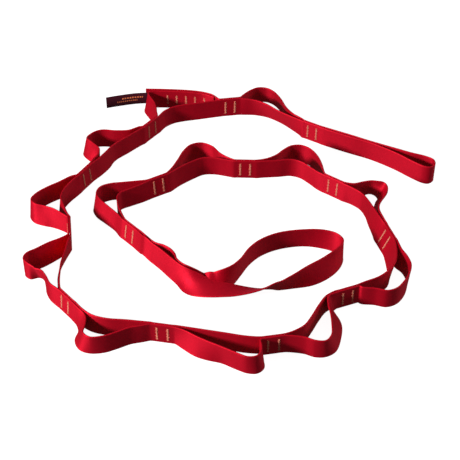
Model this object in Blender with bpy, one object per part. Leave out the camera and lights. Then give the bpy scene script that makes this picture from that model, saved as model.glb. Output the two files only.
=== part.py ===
"""Multi-loop stretching strap, standing on its edge in the spiral it is laid out in.

One flat woven webbing runs twice along the strap. Fourteen pairs of bar tacks sew the two
layers together, which leaves thirteen open pockets between them, a long flat loop at the outer
end and a large half-twisted foot loop at the inner end. The two cut ends of the webbing overlap
in pocket 2, where five more bar tacks join them over a folded label tape.

Lengths below are millimetres and angles are degrees. X runs along the picture, Y runs away from
the viewer and Z is up. "Inner" is the side of the spiral's centre, "outer" is the other side.
"""
import math

import bmesh
import bpy
from mathutils import Vector

MM = 0.001

# ---- driving dimensions ------------------------------------------------------------------
WEB_W = 25.0          # webbing width, the height of the strap as it stands
WEB_T = 1.8           # webbing thickness
LAYER_GAP = 0.3       # least clear gap between two layers that only touch
SEAM_GAP = 2.4        # gap between neighbouring loops at each sewn joint, on the hinge line
SEWN_HALF = 9.5       # half length of the zone where the two layers are one
TACK_PITCH = 11.0     # distance between the two bars of a sewn joint
TACK_W = 2.4          # width of a bar tack along the webbing
TACK_H = 17.0         # height of a bar tack across the webbing
SPLICE_TACK_H = 13.0  # height of the bar tacks of the splice, less than the label's width
TACK_PROUD = 0.5      # how far the thread stands off each face
SLOT_CLEAR = 0.3      # clearance of the slot a bar tack passes through
LABEL_W = 16.0        # width of the label tape
LABEL_T = 0.6         # thickness of the folded label tape
LABEL_Z = 12.5        # height of the middle of the label tape
SPLICE_GAP = 1.4      # clear gap between the two overlapped ends, which holds the label
FOOT_Z = 12.6         # height of the middle of the foot loop where it twists off the floor
CENTRE = (5.35, 10.56) # middle of the footprint, moved to the origin

# ---- the fourteen sewn joints: x, y, heading along the strap, lean of the top edge outward --
JOINTS = [
    (95.0, 149.5, 150.0, 0.0),
    (0.0, 196.0, 188.0, 0.0),
    (-91.0, 154.5, 231.0, 0.0),
    (-159.5, 71.5, 237.0, 4.0),
    (-169.9, -18.0, 277.0, -3.0),
    (-164.1, -119.6, 311.5, -6.0),
    (-66.0, -158.2, 350.0, 0.0),
    (42.0, -173.0, 10.0, 0.0),
    (118.0, -109.3, 21.0, 0.0),
    (164.0, -27.0, 109.0, 25.0),
    (113.5, 55.0, 145.0, 4.0),
    (17.0, 85.5, 178.0, 0.0),
    (-78.9, 57.0, 209.0, 8.0),
    (-105.4, -18.9, 313.5, -10.0),
]

# ---- routes between the joints: x, y, lean of the top edge outward ----------------------------
INNER = {
    1: [(81, 157.5, -4), (69, 168, -14), (57, 178.5, -18), (43, 189, -13), (29, 194.5, -6),
        (15, 196.2, -1)],
    2: [(-20, 191.5, 0), (-37, 187.8, 0), (-55, 184.2, 0), (-66, 180.5, 0), (-76, 173, 0)],
    3: [(-103, 140, 0), (-116, 127.5, 0), (-131, 113, 0), (-138, 100, 5), (-146, 88, 4)],
    4: [(-168, 57, 6), (-176.4, 44.7, 3), (-180.8, 35.5, 0), (-183.6, 26, -7), (-182.5, 18.3, -12),
        (-178.9, 8.6, -12), (-173.8, -0.6, -6)],
    5: [(-169.6, -39.8, -6), (-172.2, -52, -12), (-174, -61, -14), (-175.2, -72, -12),
        (-174.6, -84, -9), (-173.6, -99, -7)],
    6: [(-147, -137.3, -5), (-136, -145.5, -2), (-121, -150, 0), (-102, -151.8, 0), (-85, -154, 0)],
    7: [(-44, -161, 0), (-24, -165, 0), (-4, -169, 0), (12, -172.4, 0), (23, -173.8, 0)],
    8: [(62, -166.3, 0), (73, -158.5, 0), (80, -147.5, 0), (88, -132, 0), (96, -119.5, 0)],
    9: [(137, -99.7, 0), (151, -93, 0), (161, -84.2, 0), (166.6, -71.7, 12), (167.8, -57.8, 20)],
    10: [(156.5, -8, 18), (151.5, 8, 10), (148, 20, 3), (142.5, 31.5, 0), (133, 40.5, 0)],
    11: [(97, 65.5, 2), (88, 75, 0), (79, 83.5, 0), (68, 87.5, 0), (54, 86, 0), (38, 84.8, 0)],
    12: [(-3, 86.8, 0), (-18, 90.2, 0), (-30, 89.8, 2), (-43.8, 81.9, 5), (-57.8, 71.2, 6)],
    13: [(-96.6, 45, 6), (-109.8, 37.8, 3), (-118.5, 32.7, 1), (-121.3, 27, 0), (-120, 15, 0),
        (-116.5, 1, -5)],
}
OUTER = {
    1: [(82, 160, 0), (73, 168, 0), (66, 180, -4), (60.5, 197, -8), (53, 211, -10), (44, 218, -10),
        (33, 218.5, -8), (23.5, 212.5, -5), (16, 203.5, 0)],
    3: [(-104, 144.5, 0), (-115, 138.5, 0), (-130, 137.5, 0), (-147, 138.6, 0), (-158.5, 134, -9),
        (-164.5, 125.2, -13), (-156.3, 114.1, -15), (-147.8, 106.1, -5), (-147, 98, 0), (-150, 90, 4)],
    4: [(-173.8, 59.2, 3), (-185.9, 50.6, 0), (-199, 41.5, 0), (-210, 31, 0), (-215, 22, -6),
        (-210, 13.5, -12), (-200, 9.5, -16), (-190, 6, -12), (-178.5, -1, -4)],
    5: [(-176.5, -38.5, 6), (-187.6, -46.3, 16), (-199.3, -55.1, 16), (-209, -60.6, 7),
        (-211.9, -67.2, 0), (-206.1, -73.9, 3), (-197.1, -75.9, 22), (-190.5, -82.5, 10),
        (-186.8, -92.2, -2), (-181.8, -102.6, -3)],
    6: [(-151.2, -136.9, -8), (-146.3, -146.7, -20), (-147.5, -158.5, -26), (-144.9, -168.6, -12),
        (-136, -174, 0), (-123, -172.8, 0), (-110, -167.5, 0), (-98, -161.8, 0), (-87, -159.3, 0)],
    7: [(-45, -167, -8), (-33, -175.5, -12), (-22, -181, -8), (-8, -186.5, 0), (6, -194, 0),
        (17, -199, 0), (26, -198.5, -4), (31, -192.5, -8), (31, -184, -4), (29.2, -178.6, 0)],
    8: [(62, -172.5, 0), (73, -174.5, 0), (83, -178.6, 0), (93, -178.5, 0), (101, -171, -12),
        (104.6, -154.1, -24), (105.1, -138.7, -30), (102.6, -128.3, -26), (100.5, -120.4, -12)],
    9: [(133, -107.9, 0), (146, -109.3, 0), (158, -112.3, 0), (168, -108.5, 0), (176, -99, 0),
        (181.5, -87, 4), (183.5, -75, 6), (180.5, -64, 8), (174.5, -54, 16)],
    10: [(159.6, -6, 14), (157.2, 7.8, 8), (158.6, 19.5, 14), (161.3, 28.5, 24), (165.3, 39.9, 28),
        (166, 46.6, 20), (160.9, 52, -4), (154.5, 54.8, -12), (146, 52.2, -8), (134.9, 47.4, 0)],
    11: [(103.5, 66, 0), (101.5, 79, 0), (97.5, 93, 0), (90, 105.5, 0), (80, 111.8, 0), (69, 111, 0),
         (60, 104, 0), (52, 95.5, 0), (41, 89, 0)],
    12: [(-3, 91.5, 0), (-11.5, 98.5, 0), (-20, 110, 0), (-32, 116, 0), (-44, 112.8, 0),
         (-52, 102, 0), (-57.5, 87, 2), (-63.2, 72.6, 6)],
    13: [(-99.6, 50.9, 5), (-117, 49.1, 2), (-131, 47.3, 0), (-141, 42, 0), (-146.3, 32, -10),
        (-142.5, 22, -13), (-132.5, 11, -10), (-121.8, -0.5, -8)],
}
# The outer layer of pocket 2 is the splice: end A comes from joint 2 and lies behind, end B comes
# from joint 3, folds and lies in front.
END_A = [(-21, 203.6, 0), (-32, 208.3, 0), (-45, 211, 0), (-60, 212.6, 0), (-80, 213.8, 0), (-99.5, 214.3, 0)]
END_B = [(-18.8, 199, 0), (-31, 204.9, 0), (-45, 207.7, 0), (-60, 209.3, 0), (-80, 210.4, 0),
         (-91.5, 210.1, 0), (-97.5, 208.3, -8), (-98, 203, -14), (-91.8, 190.1, -15),
         (-87.6, 179.6, -8), (-85.5, 171, -2)]
LABEL = [(-66, 211.35, 0), (-80, 212.1, 0), (-100, 212.4, 0), (-113, 211.2, 0), (-129, 207.8, 0), (-146, 203.2, 0)]
SPLICE_X = (-74.0, -63.0, -52.0, -41.0, -30.0)

# End loops, from the inner layer round to the outer layer: x, y, roll, height of the middle.
END_LOOP = [(120, 134.6, 0), (137, 126.3, 0), (160, 115.4, 0), (185, 99, 0), (205, 82.5, 0),
            (214.5, 76, 0), (221, 74.6, 0), (226.5, 79.5, 0), (226, 87, 0), (218, 92.8, 0),
            (203, 98.6, 0), (181, 108.6, 0), (158, 119.2, 0), (137.4, 129.5, 0), (121, 137.3, 0)]
FOOT_LOOP = [(-89.5, -34, -8, 0), (-79, -44.5, -6, 0), (-69, -48.5, -4, 0), (-62.4, -53.5, -4, 0),
             (-58.5, -60.5, -8, 0), (-57, -68, -12, 0), (-49, -77.2, -15, 0), (-39.5, -84.2, -35, 0),
             (-28, -89.4, -54, 8.8), (-16, -89.6, -44, 10), (-6, -86, -24, 0), (3, -78.5, -8, 0),
             (11, -67.5, 0, 0), (20, -52, 0, 0), (32, -39.5, 0, 0), (51, -29.5, 0, 0), (78, -24.8, 0, 0),
             (99, -27, -8, 0), (111.6, -32.5, -8, 0), (117.8, -41.5, 0, 0), (113, -53.5, 14, 0),
             (101.5, -66, 24, 0), (84, -78.5, 20, 0), (66, -87.5, -6, 0), (48, -94.5, -26, FOOT_Z),
             (30, -99.5, -46, FOOT_Z), (18, -101, -58, FOOT_Z), (3, -101, -72, FOOT_Z), (-8, -100, -80, FOOT_Z),
             (-20, -98.2, -91, FOOT_Z), (-31, -95, -107, FOOT_Z), (-42, -88.8, -138, FOOT_Z),
             (-51.5, -79.8, -162, FOOT_Z), (-60.5, -70, -167, FOOT_Z), (-71, -57.8, -169, FOOT_Z),
             (-82.3, -46, -170, FOOT_Z), (-92.5, -35.2, -171, FOOT_Z)]


def clear_scene():
    for old in list(bpy.data.objects):
        bpy.data.objects.remove(old, do_unlink=True)


def make_material(name, colour, roughness):
    mat = bpy.data.materials.new(name)
    mat.use_nodes = True
    shader = mat.node_tree.nodes["Principled BSDF"]
    shader.inputs["Base Color"].default_value = (*colour, 1.0)
    shader.inputs["Roughness"].default_value = roughness
    mat.diffuse_color = (*colour, 1.0)
    return mat


def direction(heading):
    """Unit vector on the floor at a heading in degrees."""
    return Vector((math.cos(math.radians(heading)), math.sin(math.radians(heading)), 0.0))


def section_axes(tangent, roll):
    """Across and face-normal unit vectors of a webbing section; the normal is on the right."""
    right = Vector((tangent.y, -tangent.x, 0.0)).normalized()
    angle = math.radians(roll)
    across = right * math.sin(angle) + Vector((0.0, 0.0, math.cos(angle)))
    normal = right * math.cos(angle) - Vector((0.0, 0.0, math.sin(angle)))
    return across, normal


def edge_height(roll, half_thickness):
    """Height of the section's middle that puts its lowest corner on the floor."""
    angle = math.radians(roll)
    return abs(math.cos(angle)) * WEB_W / 2 + abs(math.sin(angle)) * half_thickness


class Joint:
    """Frame of one sewn joint: a point on the hinge line and the directions around it."""

    def __init__(self, x, y, heading, lean):
        self.tangent = direction(heading)
        self.across, self.normal = section_axes(self.tangent, lean)
        self.lean = lean
        self.middle = Vector((x, y, edge_height(lean, WEB_T)))

    def point(self, along, out, up):
        return self.middle + self.tangent * along + self.normal * out + self.across * up


def spline(points, step=0.5):
    """Dense centripetal Catmull-Rom curve through points whose first two values are x and y."""
    first = [2 * a - b for a, b in zip(points[0], points[1])]
    last = [2 * a - b for a, b in zip(points[-1], points[-2])]
    keys = [first] + [list(p) for p in points] + [last]
    out = []
    for p0, p1, p2, p3 in zip(keys, keys[1:], keys[2:], keys[3:]):
        d01 = max(math.hypot(p1[0] - p0[0], p1[1] - p0[1]), 0.01) ** 0.5
        d12 = max(math.hypot(p2[0] - p1[0], p2[1] - p1[1]), 0.01) ** 0.5
        d23 = max(math.hypot(p3[0] - p2[0], p3[1] - p2[1]), 0.01) ** 0.5
        count = max(2, round(d12 ** 2 / step))
        for i in range(count):
            t = i / count
            values = []
            for a, b, c, d in zip(p0, p1, p2, p3):
                m1 = (b - a) / d01 - (c - a) / (d01 + d12) + (c - b) / d12
                m2 = (c - b) / d12 - (d - b) / (d12 + d23) + (d - c) / d23
                m1 *= d12
                m2 *= d12
                values.append(b + m1 * t + (3 * (c - b) - 2 * m1 - m2) * t * t
                              + (2 * (b - c) + m1 + m2) * t * t * t)
            out.append(values)
    out.append(list(points[-1]))
    return out


def stations(points, far=7.0, turn=14.0):
    """Sections along a route: (x, y, roll, z, tangent), closer together where it bends."""
    dense = spline(points)
    tangents = []
    for i in range(len(dense)):
        a = dense[max(i - 1, 0)]
        b = dense[min(i + 1, len(dense) - 1)]
        tangents.append(Vector((b[0] - a[0], b[1] - a[1], 0.0)).normalized())
    picked = [0]
    run = 0.0
    bend = 0.0
    for i in range(1, len(dense)):
        run += math.hypot(dense[i][0] - dense[i - 1][0], dense[i][1] - dense[i - 1][1])
        bend += math.degrees(tangents[i].angle(tangents[i - 1]))
        bend += abs(dense[i][2] - dense[i - 1][2]) * 0.5
        if run >= far or bend >= turn:
            picked.append(i)
            run = 0.0
            bend = 0.0
    if picked[-1] != len(dense) - 1:
        if len(picked) > 1 and run < 2.0:
            picked.pop()
        picked.append(len(dense) - 1)
    return [(dense[i], tangents[i]) for i in picked]


def section_points(centre, across, normal, width, thickness):
    """Corners of a section: right bottom, right top, left top, left bottom."""
    half_w = across * (width / 2)
    half_t = normal * (thickness / 2)
    return [centre + half_t - half_w, centre + half_t + half_w,
            centre - half_t + half_w, centre - half_t - half_w]


def add_ribbon(bm, points, width, thickness, first=None, last=None, lowest=None):
    """Sweep a webbing section along a route. first and last are corner vertices to join on to."""
    ring = []
    picked = stations(points)
    for number, (values, tangent) in enumerate(picked):
        if number == 0 and first:
            ring.append(first)
            continue
        if number == len(picked) - 1 and last:
            ring.append(last)
            continue
        roll = values[2]
        across, normal = section_axes(tangent, roll)
        height = values[3] if len(values) > 3 else 0.0
        if lowest is not None:
            height = lowest
        if height < edge_height(roll, thickness / 2):
            height = edge_height(roll, thickness / 2)
        centre = Vector((values[0], values[1], height))
        ring.append([bm.verts.new(p) for p in section_points(centre, across, normal, width, thickness)])
    for a, b in zip(ring, ring[1:]):
        for k in range(4):
            bm.faces.new([a[k], a[(k + 1) % 4], b[(k + 1) % 4], b[k]])
    if not first:
        bm.faces.new(ring[0])
    if not last:
        bm.faces.new(ring[-1])
    return ring


def add_sewn_zone(bm, joint, side):
    """Double-thickness half of a sewn joint. Returns its corners: inner, middle and outer."""
    near = side * SEAM_GAP / 2
    far = side * SEWN_HALF
    half = WEB_W / 2
    end = [bm.verts.new(joint.point(near, out, up)) for out, up in
           ((-WEB_T, -half), (-WEB_T, half), (WEB_T, half), (WEB_T, -half))]
    inner = [bm.verts.new(joint.point(far, -WEB_T, up)) for up in (-half, half)]
    middle = [bm.verts.new(joint.point(far, 0.0, up)) for up in (-half, half)]
    outer = [bm.verts.new(joint.point(far, WEB_T, up)) for up in (-half, half)]
    bm.faces.new(end)
    bm.faces.new([inner[0], inner[1], end[1], end[0]])
    bm.faces.new([outer[0], outer[1], end[2], end[3]])
    bm.faces.new([end[1], inner[1], middle[1], outer[1], end[2]])
    bm.faces.new([end[0], inner[0], middle[0], outer[0], end[3]])
    return inner, middle, outer


def layer_start(joint, side, layer):
    """Route point where a layer leaves the sewn zone: layer is -1 for inner and 1 for outer."""
    p = joint.point(side * SEWN_HALF, layer * WEB_T / 2, 0.0)
    return (p.x, p.y, joint.lean)


def layer_lead(joint, side, layer):
    """Second route point, which keeps the layer in line and opens the first gap."""
    offset = WEB_T / 2 + LAYER_GAP
    p = joint.point(side * (SEWN_HALF + 3.0), layer * offset, 0.0)
    return (p.x, p.y, joint.lean)


def finish_mesh(bm, name, mat, origin, cutter=None):
    """Make the object, with its origin on the hinge line of its body."""
    bmesh.ops.recalc_face_normals(bm, faces=bm.faces)
    shift = Vector((origin[0], origin[1], 0.0))
    for v in bm.verts:
        v.co = (v.co - shift) * MM
    mesh = bpy.data.meshes.new(name)
    bm.to_mesh(mesh)
    bm.free()
    for poly in mesh.polygons:
        poly.use_smooth = True
    mesh.set_sharp_from_angle(angle=math.radians(40))
    obj = bpy.data.objects.new(name, mesh)
    bpy.context.collection.objects.link(obj)
    obj.location = ((origin[0] - CENTRE[0]) * MM, (origin[1] - CENTRE[1]) * MM, 0.0)
    mesh.materials.append(mat)
    if cutter:
        cut = obj.modifiers.new("tack_slots", "BOOLEAN")
        cut.operation = "DIFFERENCE"
        cut.solver = "EXACT"
        cut.object = cutter
    return obj


def add_box(bm, centre, along, across, normal, size):
    """Box of size (along, across, normal) about a centre."""
    a = along * (size[0] / 2)
    b = across * (size[1] / 2)
    c = normal * (size[2] / 2)
    v = [bm.verts.new(centre + a * i + b * j + c * k) for i in (-1, 1) for j in (-1, 1) for k in (-1, 1)]
    for quad in ((0, 1, 3, 2), (4, 6, 7, 5), (0, 4, 5, 1), (2, 3, 7, 6), (0, 2, 6, 4), (1, 5, 7, 3)):
        bm.faces.new([v[q] for q in quad])


def tack_places():
    """Every bar tack: name, middle, directions, sewn thickness, height and index of its body."""
    places = []
    for number, joint in enumerate(JOINT_FRAMES, start=1):
        for letter, side in (("a", -1), ("b", 1)):
            middle = joint.point(side * TACK_PITCH / 2, 0.0, 0.0)
            body = number - 1 if side < 0 else number
            places.append((f"tack_{number:02d}{letter}", middle, joint.tangent, joint.across,
                           joint.normal, 2 * WEB_T, TACK_H, body))
    front = spline(END_B[:6])
    for number, x in enumerate(SPLICE_X, start=1):
        nearest = min(range(1, len(front) - 1), key=lambda i: abs(front[i][0] - x))
        before = front[nearest - 1]
        after = front[nearest + 1]
        tangent = Vector((before[0] - after[0], before[1] - after[1], 0.0)).normalized()
        across, normal = section_axes(tangent, 0.0)
        depth = 2 * WEB_T + SPLICE_GAP
        middle = Vector((front[nearest][0], front[nearest][1], WEB_W / 2))
        middle -= normal * (depth / 2 - WEB_T / 2)
        places.append((f"splice_tack_{number}", middle, tangent, across, normal, depth,
                       SPLICE_TACK_H, 2))
    return places


def body_origin(body):
    """The hinge line that carries a body. Body 7 is the root and uses joint 7."""
    x, y = JOINTS[body][:2] if body < 7 else JOINTS[body - 1][:2]
    return (x, y)


def build_cutter():
    """One hidden cutter with a slot for every bar tack."""
    bm = bmesh.new()
    for _name, middle, tangent, across, normal, depth, height, _body in TACKS:
        size = (TACK_W + 2 * SLOT_CLEAR, height + 2 * SLOT_CLEAR, depth + 2.0)
        add_box(bm, middle, tangent, across, normal, size)
    bmesh.ops.recalc_face_normals(bm, faces=bm.faces)
    for v in bm.verts:
        v.co = (v.co - Vector((CENTRE[0], CENTRE[1], 0.0))) * MM
    mesh = bpy.data.meshes.new("tack_slots")
    bm.to_mesh(mesh)
    bm.free()
    obj = bpy.data.objects.new("tack_slots", mesh)
    bpy.context.collection.objects.link(obj)
    obj.hide_render = True
    obj.display_type = "WIRE"
    return obj


def build_tacks():
    for name, middle, tangent, across, normal, depth, height, body in TACKS:
        bm = bmesh.new()
        add_box(bm, middle, tangent, across, normal, (TACK_W, height, depth + 2 * TACK_PROUD))
        finish_mesh(bm, name, THREAD, body_origin(body))


def build_pocket(number, cutter):
    """One pocket: a sewn zone at each end, an inner layer and a slack outer layer."""
    before = JOINT_FRAMES[number - 1]
    after = JOINT_FRAMES[number]
    bm = bmesh.new()
    in1, mid1, out1 = add_sewn_zone(bm, before, 1)
    in2, mid2, out2 = add_sewn_zone(bm, after, -1)
    route = [layer_start(before, 1, -1), layer_lead(before, 1, -1)]
    route += INNER[number]
    route += [layer_lead(after, -1, -1), layer_start(after, -1, -1)]
    add_ribbon(bm, route, WEB_W, WEB_T, [mid1[0], mid1[1], in1[1], in1[0]],
               [mid2[0], mid2[1], in2[1], in2[0]])
    out_first = [out1[0], out1[1], mid1[1], mid1[0]]
    out_last = [out2[0], out2[1], mid2[1], mid2[0]]
    if number == 2:
        route = [layer_start(before, 1, 1), layer_lead(before, 1, 1)] + END_A
        add_ribbon(bm, route, WEB_W, WEB_T, first=out_first)
        route = END_B + [layer_lead(after, -1, 1), layer_start(after, -1, 1)]
        add_ribbon(bm, route, WEB_W, WEB_T, last=out_last)
    else:
        route = [layer_start(before, 1, 1), layer_lead(before, 1, 1)]
        route += OUTER[number]
        route += [layer_lead(after, -1, 1), layer_start(after, -1, 1)]
        add_ribbon(bm, route, WEB_W, WEB_T, out_first, out_last)
    finish_mesh(bm, f"webbing_pocket_{number:02d}", WEBBING, body_origin(number), cutter)


def build_end_loop(cutter):
    """Long flat loop at the outer end of the strap."""
    joint = JOINT_FRAMES[0]
    bm = bmesh.new()
    inner, middle, outer = add_sewn_zone(bm, joint, -1)
    route = [layer_start(joint, -1, -1), layer_lead(joint, -1, -1)]
    route += END_LOOP
    route += [layer_lead(joint, -1, 1), layer_start(joint, -1, 1)]
    add_ribbon(bm, route, WEB_W, WEB_T, [inner[0], inner[1], middle[1], middle[0]],
               [outer[0], outer[1], middle[1], middle[0]])
    finish_mesh(bm, "webbing_end_loop", WEBBING, body_origin(0), cutter)


def build_foot_loop(cutter):
    """Large open loop at the inner end. Its front run turns over by half a turn."""
    joint = JOINT_FRAMES[13]
    bm = bmesh.new()
    inner, middle, outer = add_sewn_zone(bm, joint, 1)
    start = layer_start(joint, 1, -1) + (0.0,)
    lead = layer_lead(joint, 1, -1) + (0.0,)
    last_lead = layer_lead(joint, 1, 1)[:2] + (-179.0, FOOT_Z)
    end = layer_start(joint, 1, 1)[:2] + (-180.0, FOOT_Z)
    route = [start, lead] + FOOT_LOOP + [last_lead, end]
    add_ribbon(bm, route, WEB_W, WEB_T, [middle[0], middle[1], inner[1], inner[0]],
               [outer[1], outer[0], middle[0], middle[1]])
    finish_mesh(bm, "webbing_foot_loop", WEBBING, body_origin(14), cutter)


def build_label(cutter):
    """Folded label tape, sewn in between the two webbing ends."""
    bm = bmesh.new()
    add_ribbon(bm, LABEL, LABEL_W, LABEL_T, lowest=LABEL_Z)
    finish_mesh(bm, "label_tape", LABEL_MAT, body_origin(2), cutter)


clear_scene()
WEBBING = make_material("webbing_red", (0.48, 0.012, 0.035), 0.55)
THREAD = make_material("thread_peach", (0.72, 0.35, 0.24), 0.6)
LABEL_MAT = make_material("label_maroon", (0.07, 0.006, 0.014), 0.6)
JOINT_FRAMES = [Joint(*values) for values in JOINTS]
TACKS = tack_places()
SLOTS = build_cutter()
build_end_loop(SLOTS)
for pocket in range(1, 14):
    build_pocket(pocket, SLOTS)
build_foot_loop(SLOTS)
build_tacks()
build_label(SLOTS)
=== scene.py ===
"""Looks of the multi-loop stretching strap: woven webbing, zigzag bar tacks and a label tape.

The webbing is one strip that runs twice along the strap. It is swept here along the same route
as the solids, with rounded selvedges, and is split only in the middle of the pockets' layers, so
that each piece crosses one sewn joint. Lengths are millimetres and angles are degrees until
a mesh is written. Meshes, textures, lights and the camera are in metres.
"""
import math

import bmesh
import bpy
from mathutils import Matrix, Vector


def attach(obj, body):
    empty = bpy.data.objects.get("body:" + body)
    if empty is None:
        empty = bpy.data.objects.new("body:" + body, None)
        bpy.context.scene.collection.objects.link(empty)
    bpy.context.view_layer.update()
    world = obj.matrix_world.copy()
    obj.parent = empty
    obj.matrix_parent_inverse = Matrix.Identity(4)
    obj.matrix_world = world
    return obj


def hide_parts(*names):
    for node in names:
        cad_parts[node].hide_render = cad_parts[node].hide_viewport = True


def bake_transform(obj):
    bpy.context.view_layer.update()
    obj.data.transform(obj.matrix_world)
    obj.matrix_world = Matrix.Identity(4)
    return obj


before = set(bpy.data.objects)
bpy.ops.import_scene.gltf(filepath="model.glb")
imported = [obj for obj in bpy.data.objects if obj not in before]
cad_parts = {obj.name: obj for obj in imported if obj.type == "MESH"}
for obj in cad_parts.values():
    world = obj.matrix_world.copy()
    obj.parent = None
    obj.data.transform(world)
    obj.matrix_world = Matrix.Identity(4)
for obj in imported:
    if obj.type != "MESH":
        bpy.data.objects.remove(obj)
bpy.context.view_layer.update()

MM = 0.001
CENTRE = (5.35, 10.56)    # the point of the plan that lies at the world's origin
POCKETS = 13

# webbing
WEB_W = 25.0
WEB_T = 1.7
CAD_WEB_T = 1.8
SELVEDGE_RISE = 0.12      # how far the selvedges stand above the weave between them
LAYER_OFFSET = 0.95       # middle of a layer from the middle of a sewn joint
SEWN_HALF = 9.5           # the layers lie together this far to each side of a joint's middle
PARTED_AT = 12.5          # and have begun to part here
PARTED_OFFSET = 1.2
BEND_HALF = 4.0           # hinge points lie this far to each side of a joint's middle
FOOT_Z = 12.6             # height of the strip's middle through the foot loop's half twist
SHARP_ANGLE = 60.0

# bar tacks
TACK_PITCH = 11.0
TACK_W = 2.4
TACK_H = 17.0
TACK_SINK = 0.24          # the stitches lie this much deeper than the webbing's two faces, in all
ROW_PITCH = 1.15          # one there-and-back of the zigzag
MIN_ROWS = 8
SPLICE_TACK_H = 13.0
SPLICE_GAP = 1.4
SPLICE_SINK = 0.3
SPLICE_POINTS = 6         # the first points of END_B, which run along the splice
THREAD_R = 0.25
THREAD_FLAT = 1.25        # the thread is pressed this much wider than it is high
THREAD_SIDES = 6
THREAD_LIFT = 0.7         # zigzag and core threads above the webbing, in thread radii
CORE_LIFT = 0.05
CORE_SHIFTS = (-0.35, 0.35)
CORE_HALF_W = 0.13
CORE_HALF_T = 0.16
CORE_SHORT = 0.3          # a core thread stops this far inside each end of its tack
WOBBLE = ((0.26, 2.3, 0.0), (0.18, 0.9, 1.0))    # uneven stitches: size, rate and phase of each wave

# label
LABEL_W = 16.0
LABEL_T = 0.5
LABEL_Z = 12.5
LABEL_BEVEL = 0.15
LABEL_STEP = 1.0

# sampling of the route
CURVE_STEP = 0.5
MIN_CHORD = 0.01
SAME_POINT = 1e-6
SECTION_STEP = 2.6        # a new section comes after this length or this many degrees of turn
SECTION_TURN = 5.0
ROLL_SHARE = 0.5          # how much of a change of roll counts as turn

# colours, and sizes in metres of what the materials draw
# painted shade in the weave's grooves and painted light on its raised picks
RED_GROOVE_SHADE = (0.34, 0.0012, 0.009, 1.0)
RED_PICK_LIT = (0.88, 0.0050, 0.024, 1.0)
# painted uneven sheen: darker patches standing in for the satin weave's mottled highlights
RED_SHEEN_MOTTLE_SHADE = (0.24, 0.0006, 0.010, 1.0)
RED_DYED = (0.60, 0.0022, 0.016, 1.0)
# painted highlight along the selvedges: lighter, pinker edges
RED_SELVEDGE_HIGHLIGHT = (0.70, 0.006, 0.018, 1.0)
RED_GLOSS = (1.0, 0.12, 0.22, 1.0)
RED_SHEEN = (1.0, 0.10, 0.20, 1.0)
PEACH_DARK = (0.62, 0.13, 0.075, 1.0)
PEACH_LIGHT = (1.0, 0.46, 0.31, 1.0)
PEACH_GLOSS = (1.0, 0.6, 0.45, 1.0)
# painted shade between the label's ribs and painted light on them
LABEL_GROOVE_SHADE = (0.034, 0.0020, 0.0070, 1.0)
LABEL_RIB_LIT = (0.066, 0.0040, 0.013, 1.0)
DASH_ORANGE = (0.72, 0.20, 0.08, 1.0)
FLOOR_GREY = (0.30, 0.30, 0.30, 1.0)
WHITE = (1.0, 1.0, 1.0, 1.0)
RIB_PITCH = 0.00125
PICK_PITCH = 0.0011
SELVEDGE_HIGHLIGHT_FROM = 0.0103    # from the strip's middle line; the painted selvedge highlight begins here and is full at the next distance
SELVEDGE_HIGHLIGHT_TO = 0.0113
LABEL_RIB_PITCH = 0.0005
# rows of dashes on the label: period, filled share, and extent across and along the tape
DASH_ROWS = (
    (0.0030, 0.68, (0.0092, 0.0112), (0.037, 0.063)),
    (0.0023, 0.55, (0.0052, 0.0069), (0.044, 0.068)),
)

# stage, in metres: each light's name, place, size and watts
FLOOR_SIZE = 12.0
FLOOR_GLOW = 0.95
WORLD_STRENGTH = 0.12
LIGHTS = (
    ("key", (-1.82, -0.95, 0.95), (0.5, 0.4), 68.0),
    ("top", (0.1, 0.2, 1.6), (1.2, 1.2), 3.0),
    ("side", (1.7, 0.1, 0.8), (0.6, 0.6), 9.0),
)
CAMERA_ELEVATION = 44.0
CAMERA_DISTANCE = 1.4
CAMERA_LENS = 101.9
CAMERA_SENSOR = 36.0
CAMERA_CLIP_END = 50.0

# ---- route of the webbing, the same points as in the design -----------------------------------
# Each sewn joint: x, y, heading of the strap and lean from upright.
JOINTS = [
    (95.0, 149.5, 150.0, 0.0),
    (0.0, 196.0, 188.0, 0.0),
    (-91.0, 154.5, 231.0, 0.0),
    (-159.5, 71.5, 237.0, 4.0),
    (-169.9, -18.0, 277.0, -3.0),
    (-164.1, -119.6, 311.5, -6.0),
    (-66.0, -158.2, 350.0, 0.0),
    (42.0, -173.0, 10.0, 0.0),
    (118.0, -109.3, 21.0, 0.0),
    (164.0, -27.0, 109.0, 25.0),
    (113.5, 55.0, 145.0, 4.0),
    (17.0, 85.5, 178.0, 0.0),
    (-78.9, 57.0, 209.0, 8.0),
    (-105.4, -18.9, 313.5, -10.0),
]
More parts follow.
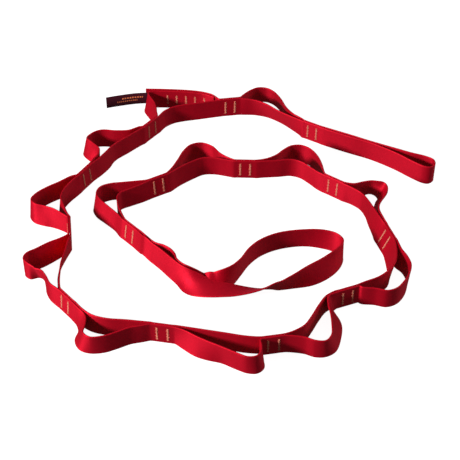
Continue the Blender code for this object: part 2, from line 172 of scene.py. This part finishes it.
# The two layers of each pocket, from one joint to the next: x, y and lean.
INNER = {
    1: [(81, 157.5, -4), (69, 168, -14), (57, 178.5, -18), (43, 189, -13), (29, 194.5, -6),
        (15, 196.2, -1)],
    2: [(-20, 191.5, 0), (-37, 187.8, 0), (-55, 184.2, 0), (-66, 180.5, 0), (-76, 173, 0)],
    3: [(-103, 140, 0), (-116, 127.5, 0), (-131, 113, 0), (-138, 100, 5), (-146, 88, 4)],
    4: [(-168, 57, 6), (-176.4, 44.7, 3), (-180.8, 35.5, 0), (-183.6, 26, -7), (-182.5, 18.3, -12),
        (-178.9, 8.6, -12), (-173.8, -0.6, -6)],
    5: [(-169.6, -39.8, -6), (-172.2, -52, -12), (-174, -61, -14), (-175.2, -72, -12),
        (-174.6, -84, -9), (-173.6, -99, -7)],
    6: [(-147, -137.3, -5), (-136, -145.5, -2), (-121, -150, 0), (-102, -151.8, 0), (-85, -154, 0)],
    7: [(-44, -161, 0), (-24, -165, 0), (-4, -169, 0), (12, -172.4, 0), (23, -173.8, 0)],
    8: [(62, -166.3, 0), (73, -158.5, 0), (80, -147.5, 0), (88, -132, 0), (96, -119.5, 0)],
    9: [(137, -99.7, 0), (151, -93, 0), (161, -84.2, 0), (166.6, -71.7, 12), (167.8, -57.8, 20)],
    10: [(156.5, -8, 18), (151.5, 8, 10), (148, 20, 3), (142.5, 31.5, 0), (133, 40.5, 0)],
    11: [(97, 65.5, 2), (88, 75, 0), (79, 83.5, 0), (68, 87.5, 0), (54, 86, 0), (38, 84.8, 0)],
    12: [(-3, 86.8, 0), (-18, 90.2, 0), (-30, 89.8, 2), (-43.8, 81.9, 5), (-57.8, 71.2, 6)],
    13: [(-96.6, 45, 6), (-109.8, 37.8, 3), (-118.5, 32.7, 1), (-121.3, 27, 0), (-120, 15, 0),
        (-116.5, 1, -5)],
}
OUTER = {
    1: [(82, 160, 0), (73, 168, 0), (66, 180, -4), (60.5, 197, -8), (53, 211, -10), (44, 218, -10),
        (33, 218.5, -8), (23.5, 212.5, -5), (16, 203.5, 0)],
    3: [(-104, 144.5, 0), (-115, 138.5, 0), (-130, 137.5, 0), (-147, 138.6, 0), (-158.5, 134, -9),
        (-164.5, 125.2, -13), (-156.3, 114.1, -15), (-147.8, 106.1, -5), (-147, 98, 0), (-150, 90, 4)],
    4: [(-173.8, 59.2, 3), (-185.9, 50.6, 0), (-199, 41.5, 0), (-210, 31, 0), (-215, 22, -6),
        (-210, 13.5, -12), (-200, 9.5, -16), (-190, 6, -12), (-178.5, -1, -4)],
    5: [(-176.5, -38.5, 6), (-187.6, -46.3, 16), (-199.3, -55.1, 16), (-209, -60.6, 7),
        (-211.9, -67.2, 0), (-206.1, -73.9, 3), (-197.1, -75.9, 22), (-190.5, -82.5, 10),
        (-186.8, -92.2, -2), (-181.8, -102.6, -3)],
    6: [(-151.2, -136.9, -8), (-146.3, -146.7, -20), (-147.5, -158.5, -26), (-144.9, -168.6, -12),
        (-136, -174, 0), (-123, -172.8, 0), (-110, -167.5, 0), (-98, -161.8, 0), (-87, -159.3, 0)],
    7: [(-45, -167, -8), (-33, -175.5, -12), (-22, -181, -8), (-8, -186.5, 0), (6, -194, 0),
        (17, -199, 0), (26, -198.5, -4), (31, -192.5, -8), (31, -184, -4), (29.2, -178.6, 0)],
    8: [(62, -172.5, 0), (73, -174.5, 0), (83, -178.6, 0), (93, -178.5, 0), (101, -171, -12),
        (104.6, -154.1, -24), (105.1, -138.7, -30), (102.6, -128.3, -26), (100.5, -120.4, -12)],
    9: [(133, -107.9, 0), (146, -109.3, 0), (158, -112.3, 0), (168, -108.5, 0), (176, -99, 0),
        (181.5, -87, 4), (183.5, -75, 6), (180.5, -64, 8), (174.5, -54, 16)],
    10: [(159.6, -6, 14), (157.2, 7.8, 8), (158.6, 19.5, 14), (161.3, 28.5, 24), (165.3, 39.9, 28),
        (166, 46.6, 20), (160.9, 52, -4), (154.5, 54.8, -12), (146, 52.2, -8), (134.9, 47.4, 0)],
    11: [(103.5, 66, 0), (101.5, 79, 0), (97.5, 93, 0), (90, 105.5, 0), (80, 111.8, 0), (69, 111, 0),
         (60, 104, 0), (52, 95.5, 0), (41, 89, 0)],
    12: [(-3, 91.5, 0), (-11.5, 98.5, 0), (-20, 110, 0), (-32, 116, 0), (-44, 112.8, 0),
         (-52, 102, 0), (-57.5, 87, 2), (-63.2, 72.6, 6)],
    13: [(-99.6, 50.9, 5), (-117, 49.1, 2), (-131, 47.3, 0), (-141, 42, 0), (-146.3, 32, -10),
        (-142.5, 22, -13), (-132.5, 11, -10), (-121.8, -0.5, -8)],
}
# The strip's two ends in pocket 2, from joint 2 on, and the label between them: x, y and lean.
END_A = [(-21, 203.6, 0), (-32, 208.3, 0), (-45, 211, 0), (-60, 212.6, 0), (-80, 213.8, 0),
         (-99.5, 214.3, 0)]
END_B = [(-18.8, 199, 0), (-31, 204.9, 0), (-45, 207.7, 0), (-60, 209.3, 0), (-80, 210.4, 0),
         (-91.5, 210.1, 0), (-97.5, 208.3, -8), (-98, 203, -14), (-91.8, 190.1, -15),
         (-87.6, 179.6, -8), (-85.5, 171, -2)]
LABEL = [(-66, 211.35, 0), (-80, 212.1, 0), (-100, 212.4, 0), (-113, 211.2, 0), (-129, 207.8, 0),
         (-146, 203.2, 0)]
# Where the splice's bar tacks cross end B.
SPLICE_X = (-74.0, -63.0, -52.0, -41.0, -30.0)
# The end loop, from joint 1 round to joint 1: x, y and roll.
END_LOOP = [(120, 134.6, 0), (137, 126.3, 0), (160, 115.4, 0), (185, 99, 0), (205, 82.5, 0),
            (214.5, 76, 0), (221, 74.6, 0), (226.5, 79.5, 0), (226, 87, 0), (218, 92.8, 0),
            (203, 98.6, 0), (181, 108.6, 0), (158, 119.2, 0), (137.4, 129.5, 0), (121, 137.3, 0)]
# The foot loop, from joint 14 round to joint 14: x, y, roll and height of the strip's middle.
# A height of 0 stands the strip on its lower edge.
FOOT_LOOP = [(-89.5, -34, -8, 0), (-79, -44.5, -6, 0), (-69, -48.5, -4, 0), (-62.4, -53.5, -4, 0),
             (-58.5, -60.5, -8, 0), (-57, -68, -12, 0), (-49, -77.2, -15, 0), (-39.5, -84.2, -35, 0),
             (-28, -89.4, -54, 8.8), (-16, -89.6, -44, 10), (-6, -86, -24, 0), (3, -78.5, -8, 0),
             (11, -67.5, 0, 0), (20, -52, 0, 0), (32, -39.5, 0, 0), (51, -29.5, 0, 0), (78, -24.8, 0, 0),
             (99, -27, -8, 0), (111.6, -32.5, -8, 0), (117.8, -41.5, 0, 0), (113, -53.5, 14, 0),
             (101.5, -66, 24, 0), (84, -78.5, 20, 0), (66, -87.5, -6, 0), (48, -94.5, -26, FOOT_Z),
             (30, -99.5, -46, FOOT_Z), (18, -101, -58, FOOT_Z), (3, -101, -72, FOOT_Z),
             (-8, -100, -80, FOOT_Z),
             (-20, -98.2, -91, FOOT_Z), (-31, -95, -107, FOOT_Z), (-42, -88.8, -138, FOOT_Z),
             (-51.5, -79.8, -162, FOOT_Z), (-60.5, -70, -167, FOOT_Z), (-71, -57.8, -169, FOOT_Z),
             (-82.3, -46, -170, FOOT_Z), (-92.5, -35.2, -171, FOOT_Z)]
BODIES = (["end_loop_body"] + [f"pocket_{n:02d}_body" for n in range(1, POCKETS + 1)]
          + ["foot_loop_body"])
WEB_NODES = (["webbing_end_loop"] + [f"webbing_pocket_{n:02d}" for n in range(1, POCKETS + 1)]
             + ["webbing_foot_loop"])


# ---- geometry helpers ------------------------------------------------------------------------
def to_world(p):
    return Vector(((p.x - CENTRE[0]) * MM, (p.y - CENTRE[1]) * MM, p.z * MM))


def section_axes(tangent, roll):
    """Across and face-normal unit vectors of a webbing section; the normal is on the right."""
    right = Vector((tangent.y, -tangent.x, 0.0)).normalized()
    angle = math.radians(roll)
    across = right * math.sin(angle) + Vector((0.0, 0.0, math.cos(angle)))
    normal = right * math.cos(angle) - Vector((0.0, 0.0, math.sin(angle)))
    return across, normal


def edge_height(roll, half_thickness):
    """Height of the section's middle that puts its lowest corner on the floor."""
    angle = math.radians(roll)
    return abs(math.cos(angle)) * WEB_W / 2 + abs(math.sin(angle)) * half_thickness


def plan_tangent(points, index):
    """Direction of a curve in plan at one of its points."""
    a = points[max(index - 1, 0)]
    b = points[min(index + 1, len(points) - 1)]
    return Vector((b[0] - a[0], b[1] - a[1], 0.0)).normalized()


class Joint:
    """Frame of one sewn joint. Half of its two layers is one layer's thickness."""

    def __init__(self, x, y, heading, lean):
        angle = math.radians(heading)
        self.tangent = Vector((math.cos(angle), math.sin(angle), 0.0))
        self.across, self.normal = section_axes(self.tangent, lean)
        self.lean = lean
        self.middle = Vector((x, y, edge_height(lean, CAD_WEB_T)))

    def point(self, along, out, up):
        return self.middle + self.tangent * along + self.normal * out + self.across * up


FRAMES = [Joint(*values) for values in JOINTS]


def root_chord(p, q):
    """Square root of the distance of two points in plan."""
    return max(math.hypot(q[0] - p[0], q[1] - p[1]), MIN_CHORD) ** 0.5


def spline(points, step=CURVE_STEP):
    """Dense centripetal Catmull-Rom curve through points whose first two values are x and y."""
    first = [2 * a - b for a, b in zip(points[0], points[1])]
    last = [2 * a - b for a, b in zip(points[-1], points[-2])]
    keys = [first] + [list(p) for p in points] + [last]
    out = []
    for p0, p1, p2, p3 in zip(keys, keys[1:], keys[2:], keys[3:]):
        d01 = root_chord(p0, p1)
        d12 = root_chord(p1, p2)
        d23 = root_chord(p2, p3)
        count = max(2, round(d12 ** 2 / step))
        for i in range(count):
            t = i / count
            values = []
            for a, b, c, d in zip(p0, p1, p2, p3):
                m1 = (b - a) / d01 - (c - a) / (d01 + d12) + (c - b) / d12
                m2 = (c - b) / d12 - (d - b) / (d12 + d23) + (d - c) / d23
                m1 *= d12
                m2 *= d12
                values.append(b + m1 * t + (3 * (c - b) - 2 * m1 - m2) * t * t
                              + (2 * (b - c) + m1 + m2) * t * t * t)
            out.append(values)
    out.append(list(points[-1]))
    return out


# ---- the whole strip, as pieces that each cross one sewn joint --------------------------------
def strip_roll(lean, backward, flipped):
    """Roll of the strip from a layer's lean, on the way out or back, and after the half twist."""
    if not backward:
        return lean
    return -180.0 - lean if flipped else -lean


def sewn_run(number, layer, backward, flipped):
    """Route points of one layer straight through a sewn joint and to where the layers part."""
    joint = FRAMES[number]
    roll = strip_roll(joint.lean, backward, flipped)
    points = []
    for along, offset in ((-PARTED_AT, PARTED_OFFSET), (-SEWN_HALF, LAYER_OFFSET),
                          (0.0, LAYER_OFFSET), (SEWN_HALF, LAYER_OFFSET),
                          (PARTED_AT, PARTED_OFFSET)):
        p = joint.point(along, layer * offset, 0.0)
        points.append((p.x, p.y, roll, 0.0))
    return points[::-1] if backward else points


def layer_run(points, backward, flipped):
    """Route points of one layer between two joints, in the direction the strip runs."""
    run = [(x, y, strip_roll(lean, backward, flipped), 0.0) for x, y, lean in points]
    return run[::-1] if backward else run


def halves(run):
    """A run cut in its middle, where one piece of the strip ends and the next begins."""
    middle = len(run) // 2
    return run[:middle], run[middle:]


def strip_route():
    """Every route point of the strip in order, with the index where each piece begins."""
    route = []
    marks = []

    def begin(name, joint):
        marks.append((len(route), name, joint))

    begin("web_seam_02_outer", 1)
    route.extend(layer_run(END_A, True, False))
    route.extend(sewn_run(1, 1, True, False))
    before, after = halves(layer_run(OUTER[1], True, False))
    route.extend(before)
    begin("web_end_loop", 0)
    route.extend(after)
    route.extend(sewn_run(0, 1, True, False))
    route.extend([(x, y, roll, 0.0) for x, y, roll in END_LOOP[::-1]])
    route.extend(sewn_run(0, -1, False, False))
    for number in range(1, POCKETS + 1):
        before, after = halves(layer_run(INNER[number], False, False))
        route.extend(before)
        begin(f"web_seam_{number + 1:02d}_inner" if number < POCKETS else "web_foot_loop", number)
        route.extend(after)
        route.extend(sewn_run(number, -1, False, False))
    route.extend(FOOT_LOOP)
    route.extend(sewn_run(POCKETS, 1, True, True))
    for number in range(POCKETS, 2, -1):
        before, after = halves(layer_run(OUTER[number], True, True))
        route.extend(before)
        begin(f"web_seam_{number:02d}_outer", number - 1)
        route.extend(after)
        route.extend(sewn_run(number - 1, 1, True, True))
    route.extend(layer_run(END_B, True, True))
    return route, marks


def sections_along(route, marks):
    """Sections of the strip: centre, across, normal and length so far, plus each piece's range."""
    dense = spline(route)
    key_at = []
    search = 0
    for x, y, _, _ in route:
        while math.hypot(dense[search][0] - x, dense[search][1] - y) > SAME_POINT:
            search += 1
        key_at.append(search)
    starts = {key_at[index] for index, _, _ in marks}
    tangents = [plan_tangent(dense, i) for i in range(len(dense))]
    picked = [0]
    length = [0.0]
    run = 0.0
    bend = 0.0
    for i in range(1, len(dense)):
        move = math.hypot(dense[i][0] - dense[i - 1][0], dense[i][1] - dense[i - 1][1])
        length.append(length[-1] + move)
        run += move
        bend += math.degrees(tangents[i].angle(tangents[i - 1]))
        bend += abs(dense[i][2] - dense[i - 1][2]) * ROLL_SHARE
        if run >= SECTION_STEP or bend >= SECTION_TURN or i in starts or i == len(dense) - 1:
            picked.append(i)
            run = 0.0
            bend = 0.0
    sections = []
    for i in picked:
        x, y, roll, z = dense[i]
        across, normal = section_axes(tangents[i], roll)
        height = max(z, edge_height(roll, WEB_T / 2))
        sections.append((Vector((x, y, height)), across, normal, length[i]))
    order = {i: n for n, i in enumerate(picked)}
    ends = [order[key_at[index]] for index, _, _ in marks] + [len(picked) - 1]
    ranges = [(name, joint, ends[n], ends[n + 1]) for n, (_, name, joint) in enumerate(marks)]
    return sections, ranges


# ---- meshes ---------------------------------------------------------------------------------
def web_profile():
    """Half-rounded webbing section: (across, normal) points, with thicker selvedges."""
    w = WEB_W / 2
    bead = WEB_T / 2
    body = bead - SELVEDGE_RISE
    selvedge = ((0.02, 0.0), (0.10, bead * 0.55), (0.40, bead * 0.93), (0.85, bead),
                (1.5, body + 0.02), (2.4, body))
    side = [(-w + inset, half_t) for inset, half_t in selvedge]
    side += [(-w * 0.45, body + 0.03), (0.0, body + 0.04)]
    upper = side + [(-a, n) for a, n in side[-2::-1]]
    lower = [(a, -n) for a, n in upper[-2:0:-1]]
    return upper + lower


def label_profile():
    """Flat tape section with bevelled edges: (across, normal) points."""
    w = LABEL_W / 2
    t = LABEL_T / 2
    inner = w - LABEL_BEVEL
    return [(-w, 0.0), (-inner, t), (0.0, t), (inner, t),
            (w, 0.0), (inner, -t), (0.0, -t), (-inner, -t)]


def new_object(name, bm, mat):
    """Object made of a bmesh, with its faces turned outward."""
    bmesh.ops.recalc_face_normals(bm, faces=bm.faces)
    mesh = bpy.data.meshes.new(name)
    bm.to_mesh(mesh)
    bm.free()
    mesh.materials.append(mat)
    obj = bpy.data.objects.new(name, mesh)
    bpy.context.collection.objects.link(obj)
    return obj


def sweep(name, sections, profile, mat, width):
    """Closed ribbon mesh through sections, with UVs in metres along and across."""
    bm = bmesh.new()
    uv_layer = bm.loops.layers.uv.new("UVMap")
    rings = []
    for centre, across, normal, _ in sections:
        rings.append([bm.verts.new(to_world(centre + across * a + normal * n)) for a, n in profile])

    def add_face(corners):
        """Face on corners that are pairs of a section's and a profile point's number."""
        face = bm.faces.new([rings[s][k] for s, k in corners])
        for loop, (s, k) in zip(face.loops, corners):
            loop[uv_layer].uv = (sections[s][3] * MM, (profile[k][0] + width / 2) * MM)
        return face

    count = len(profile)
    for s in range(len(rings) - 1):
        for k in range(count):
            j = (k + 1) % count
            add_face([(s, k), (s, j), (s + 1, j), (s + 1, k)]).smooth = True
    for s in (0, len(rings) - 1):
        add_face([(s, k) for k in range(count)])
    obj = new_object(name, bm, mat)
    obj.data.set_sharp_from_angle(angle=math.radians(SHARP_ANGLE))
    return obj


def zigzag(bm, middle, tangent, across, out, height, count):
    """Raised zigzag thread on one face of the webbing, one closed tube."""
    points = []
    for i in range(count + 1):
        side = 1 if i % 2 else -1
        up = -height / 2 + height * i / count
        wobble = sum(size * math.sin(i * rate + phase) for size, rate, phase in WOBBLE)
        points.append(middle + tangent * (side * (TACK_W / 2 - THREAD_R) + wobble) + across * up)
    rings = []
    for i, p in enumerate(points):
        if i in (0, len(points) - 1):
            run = across
        else:
            run = (points[i + 1] - points[i - 1]).normalized()
        flat = run.cross(out).normalized()
        ring = []
        for k in range(THREAD_SIDES):
            angle = 2 * math.pi * k / THREAD_SIDES
            offset = (flat * (math.cos(angle) * THREAD_R * THREAD_FLAT)
                      + out * (math.sin(angle) * THREAD_R))
            ring.append(bm.verts.new(to_world(p + offset)))
        rings.append(ring)
    for r0, r1 in zip(rings, rings[1:]):
        for k in range(THREAD_SIDES):
            j = (k + 1) % THREAD_SIDES
            bm.faces.new([r0[k], r0[j], r1[j], r1[k]]).smooth = True
    bm.faces.new(rings[0])
    bm.faces.new(rings[-1])


def core_thread(bm, middle, tangent, across, out, height):
    """Straight thread under the zigzag, one closed box."""
    half_h = height / 2 - CORE_SHORT
    v = []
    for i in (-1, 1):
        for j in (-1, 1):
            for k in (-1, 1):
                v.append(bm.verts.new(to_world(middle + tangent * (CORE_HALF_W * i)
                                               + across * half_h * j + out * (CORE_HALF_T * k))))
    for quad in ((0, 1, 3, 2), (4, 6, 7, 5), (0, 4, 5, 1), (2, 3, 7, 6), (0, 2, 6, 4), (1, 5, 7, 3)):
        bm.faces.new([v[q] for q in quad])


def bar_tack(name, node, body, middle, axes, depth, height, mat):
    """Bar tack: a zigzag of thread on each face and the straight core threads under it."""
    tangent, across, normal = axes
    bm = bmesh.new()
    rows = max(MIN_ROWS, round(height / ROW_PITCH))
    for side in (-1, 1):
        out = normal * side
        zigzag(bm, middle + out * (depth / 2 + THREAD_R * THREAD_LIFT), tangent, across, out,
               height, rows * 2)
        for shift in CORE_SHIFTS:
            core_thread(bm, middle + out * (depth / 2 + THREAD_R * CORE_LIFT) + tangent * shift,
                        tangent, across, out, height)
    obj = new_object(name, bm, mat)
    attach(obj, body)
    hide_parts(node)


# ---- materials ------------------------------------------------------------------------------
class Graph:
    """A new Principled material, with short calls for the nodes that drive it."""

    FACTOR, COLOUR_A, COLOUR_B, COLOUR_OUT = 0, 6, 7, 2    # sockets of a Mix node for colours

    def __init__(self, name):
        self.mat = bpy.data.materials.new(name)
        self.mat.use_nodes = True
        self.nodes = self.mat.node_tree.nodes
        self.links = self.mat.node_tree.links
        self.shader = self.nodes["Principled BSDF"]

    def feed(self, socket, value):
        """Link a socket to an output, or set it to a number or a colour."""
        if isinstance(value, bpy.types.NodeSocket):
            self.links.new(value, socket)
        else:
            socket.default_value = value

    def shade(self, values):
        """Feed the shader's own sockets, by name."""
        for name, value in values.items():
            self.feed(self.shader.inputs[name], value)

    def calc(self, kind, *values):
        node = self.nodes.new("ShaderNodeMath")
        node.operation = kind
        for socket, value in zip(node.inputs, values):
            self.feed(socket, value)
        return node.outputs[0]

    def mix(self, factor, a, b):
        """Colour between a and b."""
        node = self.nodes.new("ShaderNodeMix")
        node.data_type = "RGBA"
        self.feed(node.inputs[self.FACTOR], factor)
        self.feed(node.inputs[self.COLOUR_A], a)
        self.feed(node.inputs[self.COLOUR_B], b)
        return node.outputs[self.COLOUR_OUT]

    def strip_lengths(self):
        """Lengths along and across a swept ribbon, in metres."""
        uv = self.nodes.new("ShaderNodeUVMap")
        uv.uv_map = "UVMap"
        split = self.nodes.new("ShaderNodeSeparateXYZ")
        self.links.new(uv.outputs["UV"], split.inputs[0])
        return split.outputs[0], split.outputs[1]

    def noise(self, scale, detail, roughness=0.5):
        """Noise over the object's own coordinates."""
        coords = self.nodes.new("ShaderNodeTexCoord")
        node = self.nodes.new("ShaderNodeTexNoise")
        node.inputs["Scale"].default_value = scale
        node.inputs["Detail"].default_value = detail
        node.inputs["Roughness"].default_value = roughness
        self.links.new(coords.outputs["Object"], node.inputs["Vector"])
        return node.outputs["Fac"]

    def bump(self, height, strength, distance):
        node = self.nodes.new("ShaderNodeBump")
        node.inputs["Strength"].default_value = strength
        node.inputs["Distance"].default_value = distance
        self.links.new(height, node.inputs["Height"])
        self.links.new(node.outputs[0], self.shader.inputs["Normal"])


def webbing_material():
    """Woven webbing: fine ribs and picks with painted shade in the grooves, painted uneven sheen as
    darker mottling, a painted highlight along the selvedges, and uneven dye.
    """
    graph = Graph("webbing_red_weave")
    calc = graph.calc
    along, over = graph.strip_lengths()
    ribs = calc("MULTIPLY", over, 2 * math.pi / RIB_PITCH)
    picks = calc("MULTIPLY", along, 2 * math.pi / PICK_PITCH)
    rib_wave = calc("SINE", ribs)
    pick_wave = calc("SINE", calc("ADD", picks, calc("MULTIPLY", ribs, 0.5)))
    weave = calc("ADD", calc("MULTIPLY", rib_wave, 0.55), calc("MULTIPLY", pick_wave, 0.45))
    weave_lit_share = calc("ADD", calc("MULTIPLY", weave, 0.5), 0.5)
    blotch = graph.noise(55.0, 3.0)
    fuzz = graph.noise(1900.0, 2.0)
    # darker mottling painted as the satin's uneven sheen; the same noise also varies the roughness
    sheen_mottle = graph.noise(300.0, 4.0, 0.7)
    # a painted highlight along the selvedges, lighter and pinker towards each edge
    selvedge = graph.nodes.new("ShaderNodeMapRange")
    selvedge.inputs["From Min"].default_value = SELVEDGE_HIGHLIGHT_FROM
    selvedge.inputs["From Max"].default_value = SELVEDGE_HIGHLIGHT_TO
    graph.links.new(calc("ABSOLUTE", calc("SUBTRACT", over, WEB_W * MM / 2)), selvedge.inputs["Value"])
    # painted shade in the grooves and painted light on the raised picks, following the weave
    colour = graph.mix(weave_lit_share, RED_GROOVE_SHADE, RED_PICK_LIT)
    for share, of, tone in ((0.6, sheen_mottle, RED_SHEEN_MOTTLE_SHADE), (0.5, blotch, RED_DYED),
                            (0.35, selvedge.outputs[0], RED_SELVEDGE_HIGHLIGHT)):
        colour = graph.mix(calc("MULTIPLY", of, share), colour, tone)
    run = graph.nodes.new("ShaderNodeTangent")
    run.direction_type = "UV_MAP"
    run.uv_map = "UVMap"
    graph.shade({
        "Base Color": colour,
        "Roughness": calc("ADD", calc("MULTIPLY", sheen_mottle, 0.22), 0.42),
        "Metallic": 0.40,
        "Specular IOR Level": 0.8,
        "Specular Tint": RED_GLOSS,
        "Anisotropic": 0.7,
        "Anisotropic Rotation": 0.25,
        "Tangent": run.outputs[0],
        "Sheen Weight": 0.10,
        "Sheen Roughness": 0.4,
        "Sheen Tint": RED_SHEEN,
    })
    graph.bump(calc("ADD", weave, calc("MULTIPLY", fuzz, 0.5)), 0.5, 0.00012)
    return graph.mat


def thread_material():
    """Matte peach sewing thread with a little uneven colour."""
    graph = Graph("thread_peach_twist")
    noise = graph.noise(900.0, 2.0)
    graph.shade({
        "Base Color": graph.mix(noise, PEACH_DARK, PEACH_LIGHT),
        "Roughness": 0.7,
        "Specular Tint": PEACH_GLOSS,
    })
    graph.bump(noise, 0.4, 0.0001)
    return graph.mat


def label_material():
    """Dark woven tape with painted shade between its ribs, painted light on them, and two plain rows of
    orange dashes.
    """
    graph = Graph("label_maroon_tape")
    calc = graph.calc
    along, over = graph.strip_lengths()

    def band(value, extent):
        low, high = extent
        return calc("MULTIPLY", calc("GREATER_THAN", value, low), calc("LESS_THAN", value, high))

    def dashes(period, share, extent_over, extent_along):
        turns = calc("FRACT", calc("DIVIDE", along, period))
        row = calc("MULTIPLY", band(over, extent_over), band(along, extent_along))
        return calc("MULTIPLY", calc("LESS_THAN", turns, share), row)

    marks = calc("MAXIMUM", *[dashes(*row) for row in DASH_ROWS])
    ribs = calc("SINE", calc("MULTIPLY", over, 2 * math.pi / LABEL_RIB_PITCH))
    weave_lit_share = calc("ADD", calc("MULTIPLY", ribs, 0.5), 0.5)
    graph.shade({
        # painted shade between the ribs and painted light on them, following the rib bump
        "Base Color": graph.mix(marks, graph.mix(weave_lit_share, LABEL_GROOVE_SHADE, LABEL_RIB_LIT), DASH_ORANGE),
        "Roughness": 0.85,
        "Specular IOR Level": 0.15,
    })
    graph.bump(calc("ADD", ribs, marks), 0.35, 0.0001)
    return graph.mat


def floor_material():
    graph = Graph("floor_white")
    graph.shade({
        "Base Color": FLOOR_GREY,
        "Roughness": 0.9,
        "Emission Color": WHITE,
        "Emission Strength": FLOOR_GLOW,
    })
    return graph.mat


# ---- build the pieces -----------------------------------------------------------------------
def hinge_points(number):
    """Two points on a joint's middle line, BEND_HALF before and after its middle, in world metres."""
    joint = FRAMES[number]
    return to_world(joint.point(-BEND_HALF, 0.0, 0.0)), to_world(joint.point(BEND_HALF, 0.0, 0.0))


def build_webbing(mat):
    route, marks = strip_route()
    sections, ranges = sections_along(route, marks)
    profile = web_profile()
    for name, joint, start, stop in ranges:
        part = sections[start:stop + 1]
        obj = sweep(name, part, profile, mat, WEB_W)
        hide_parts(WEB_NODES[joint], WEB_NODES[joint + 1])
        low, high = hinge_points(joint)
        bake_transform(obj)
        flat = (WEB_W * MM, (part[-1][3] - part[0][3]) * MM)
        print("webbing", name, "length", round(flat[1] / MM, 1), "mm")
    print("webbing in all", round(sections[-1][3], 1), "mm")


def build_tacks(mat):
    for number, joint in enumerate(FRAMES, start=1):
        axes = (joint.tangent, joint.across, joint.normal)
        for letter, side in (("a", -1), ("b", 1)):
            body = BODIES[number - 1] if side < 0 else BODIES[number]
            bar_tack(f"stitch_{number:02d}{letter}", f"tack_{number:02d}{letter}", body,
                     joint.point(side * TACK_PITCH / 2, 0.0, 0.0), axes,
                     2 * LAYER_OFFSET + WEB_T - TACK_SINK, TACK_H, mat)


def build_splice_tacks(mat):
    """The splice's bar tacks, through end B and the layer behind it."""
    front = spline(END_B[:SPLICE_POINTS])
    depth = 2 * CAD_WEB_T + SPLICE_GAP
    for number, x in enumerate(SPLICE_X, start=1):
        near = min(range(1, len(front) - 1), key=lambda i: abs(front[i][0] - x))
        tangent = -plan_tangent(front, near)
        across, normal = section_axes(tangent, 0.0)
        middle = Vector((front[near][0], front[near][1], WEB_W / 2))
        middle -= normal * (depth / 2 - CAD_WEB_T / 2)
        bar_tack(f"splice_stitch_{number}", f"splice_tack_{number}", BODIES[2], middle,
                 (tangent, across, normal), depth - SPLICE_SINK, SPLICE_TACK_H, mat)


def build_label(mat):
    dense = spline(LABEL, step=LABEL_STEP)
    sections = []
    total = 0.0
    for i, (x, y, roll) in enumerate(dense):
        if i:
            total += math.hypot(x - dense[i - 1][0], y - dense[i - 1][1])
        across, normal = section_axes(plan_tangent(dense, i), roll)
        sections.append((Vector((x, y, LABEL_Z)), across, normal, total))
    obj = sweep("label_tape_woven", sections, label_profile(), mat, LABEL_W)
    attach(obj, BODIES[2])
    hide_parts("label_tape")
    print("label length", round(total, 1), "mm")


# ---- floor, light and camera ---------------------------------------------------------------
def point_along(obj, direction):
    """Turn a lamp or camera so that it looks along a direction."""
    obj.rotation_mode = "QUATERNION"
    obj.rotation_quaternion = direction.to_track_quat("-Z", "Y")


def build_floor():
    bpy.ops.mesh.primitive_plane_add(size=FLOOR_SIZE, location=(0.0, 0.0, 0.0))
    floor = bpy.context.object
    floor.name = "floor"
    floor.data.materials.append(floor_material())
    floor.visible_diffuse = False
    floor.visible_glossy = False


def build_lights():
    for name, location, size, power in LIGHTS:
        data = bpy.data.lights.new(name, "AREA")
        data.shape = "RECTANGLE"
        data.size = size[0]
        data.size_y = size[1]
        data.energy = power
        lamp = bpy.data.objects.new(name, data)
        bpy.context.collection.objects.link(lamp)
        lamp.location = location
        point_along(lamp, -Vector(location))
    world = bpy.data.worlds.new("studio")
    world.use_nodes = True
    world.node_tree.nodes["Background"].inputs["Color"].default_value = WHITE
    world.node_tree.nodes["Background"].inputs["Strength"].default_value = WORLD_STRENGTH
    bpy.context.scene.world = world
    bpy.context.scene.view_settings.view_transform = "Standard"


def build_camera():
    data = bpy.data.cameras.new("camera")
    data.sensor_width = CAMERA_SENSOR
    data.lens = CAMERA_LENS
    data.clip_end = CAMERA_CLIP_END
    cam = bpy.data.objects.new("camera", data)
    bpy.context.collection.objects.link(cam)
    aim = Vector((-CENTRE[0] * MM, -CENTRE[1] * MM, 0.0))
    elevation = math.radians(CAMERA_ELEVATION)
    away = Vector((0.0, -math.cos(elevation), math.sin(elevation)))
    cam.location = aim + away * CAMERA_DISTANCE
    point_along(cam, -away)
    bpy.context.scene.camera = cam


build_webbing(webbing_material())
thread = thread_material()
build_tacks(thread)
build_splice_tacks(thread)
build_label(label_material())
build_floor()
build_lights()
build_camera()
